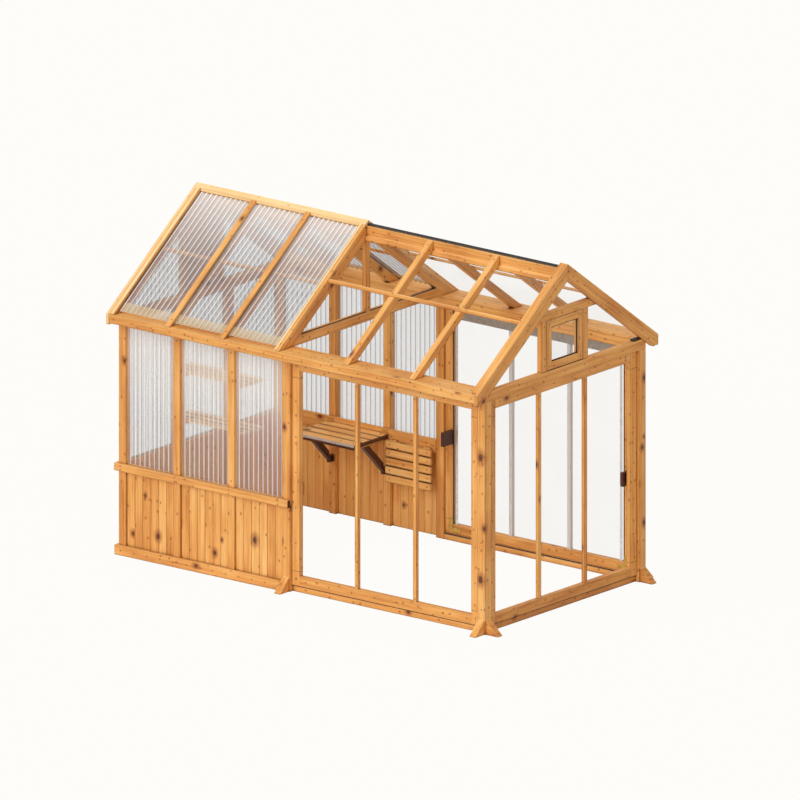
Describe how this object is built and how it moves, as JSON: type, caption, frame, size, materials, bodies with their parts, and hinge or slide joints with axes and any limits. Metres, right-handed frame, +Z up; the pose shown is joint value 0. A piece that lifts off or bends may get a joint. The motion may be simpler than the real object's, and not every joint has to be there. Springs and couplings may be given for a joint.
{
  "type": "greenhouse",
  "caption": "Timber garden greenhouse under a gable roof: a corrugated-glazed room with a boarded knee wall beside an open framed bay, with fold-down slatted shelves.",
  "frame": {"origin": "middle of the overall box on the ground", "axes": "+X along the length towards the open bay, +Y from the front wall to the back wall, +Z up"},
  "size_m": [3.84, 2.27, 2.815],
  "materials": {
    "timber": "oiled softwood, satin",
    "dark_timber": "dark stained wood, satin",
    "clear_sheet": "clear polycarbonate, gloss",
    "seal_rubber": "matt black rubber",
    "hinge_steel": "zinc-plated steel",
    "black_metal": "black folded metal",
    "edge_aluminium": "mill aluminium"
  },
  "bodies": {
    "frame": {"back_blocks": "dark_timber", "back_frame": "timber", "back_knee_boards": "timber", "back_ledger": "timber", "back_pane": "clear_sheet", "back_roof_sheets": "clear_sheet", "back_wall_sheets": "clear_sheet", "base_boards": "timber", "bay_posts": "timber", "bay_rafters": "timber", "brace_brackets": "dark_timber", "chair_rails": "timber", "eave_boards": "timber", "fascias": "timber", "feet": "timber", "fixed_hinge_leaves": "hinge_steel", "frame_mullions": "timber", "front_frame": "timber", "front_knee_boards": "timber", "front_roof_sheets": "clear_sheet", "front_wall_sheets": "clear_sheet", "gable_frame": "timber", "gable_sheets": "clear_sheet", "gable_vent": "timber", "ground_rails": "timber", "hinge_pins": "hinge_steel", "left_bargeboards": "timber", "left_knee_boards": "timber", "left_wall_sheets": "clear_sheet", "middle_tie_seal": "seal_rubber", "middle_truss": "timber", "pane_gaskets": "seal_rubber", "purlins": "timber", "ridge_beam": "timber", "ridge_caps": "timber", "ridge_flashing": "black_metal", "ridge_rails": "timber", "right_bargeboards": "timber", "right_frame": "timber", "right_gable_rafters": "timber", "right_tie_beam": "timber", "roof_battens": "timber", "roof_panes": "clear_sheet", "room_posts": "timber", "room_rafters": "timber", "room_studs": "timber", "tier_bearers": "timber", "tier_shelves": "timber", "wall_plates": "timber"},
    "sash": {"sash_frame": "timber", "sash_pane": "clear_sheet", "sash_gasket": "seal_rubber", "sash_hinge_leaves": "hinge_steel"},
    "bench": {"bench_shelf": "timber", "bench_edge_strip": "edge_aluminium", "bench_hinge_leaves": "hinge_steel"},
    "hanging_shelf": {"hanging_shelf": "timber", "hanging_hinge_leaves": "hinge_steel"},
    "brace_left": {"bench_brace_left": "dark_timber"},
    "brace_right": {"bench_brace_right": "dark_timber"}
  },
  "joints": [
    {"name": "sash_hinge", "type": "hinge", "parent": "frame", "child": "sash", "pos_m": [1.8, 0, 2.3925], "axis": [0, -1, 0], "range_deg": [0, 45]},
    {"name": "bench_hinge", "type": "hinge", "parent": "frame", "child": "bench", "pos_m": [-1.0375, 0.92, 0.765], "axis": [-1, 0, 0], "range_deg": [0, 85]},
    {"name": "hanging_shelf_hinge", "type": "hinge", "parent": "frame", "child": "hanging_shelf", "pos_m": [-0.489, 0.92, 0.722], "axis": [-1, 0, 0], "range_deg": [0, 90]},
    {"name": "brace_left_swing", "type": "hinge", "parent": "frame", "child": "brace_left", "pos_m": [-1.31167, 0.904, 0.46], "axis": [0, 0, -1], "range_deg": [0, 90]},
    {"name": "brace_right_swing", "type": "hinge", "parent": "frame", "child": "brace_right", "pos_m": [-0.76333, 0.904, 0.46], "axis": [0, 0, -1], "range_deg": [0, 90]}
  ]
}
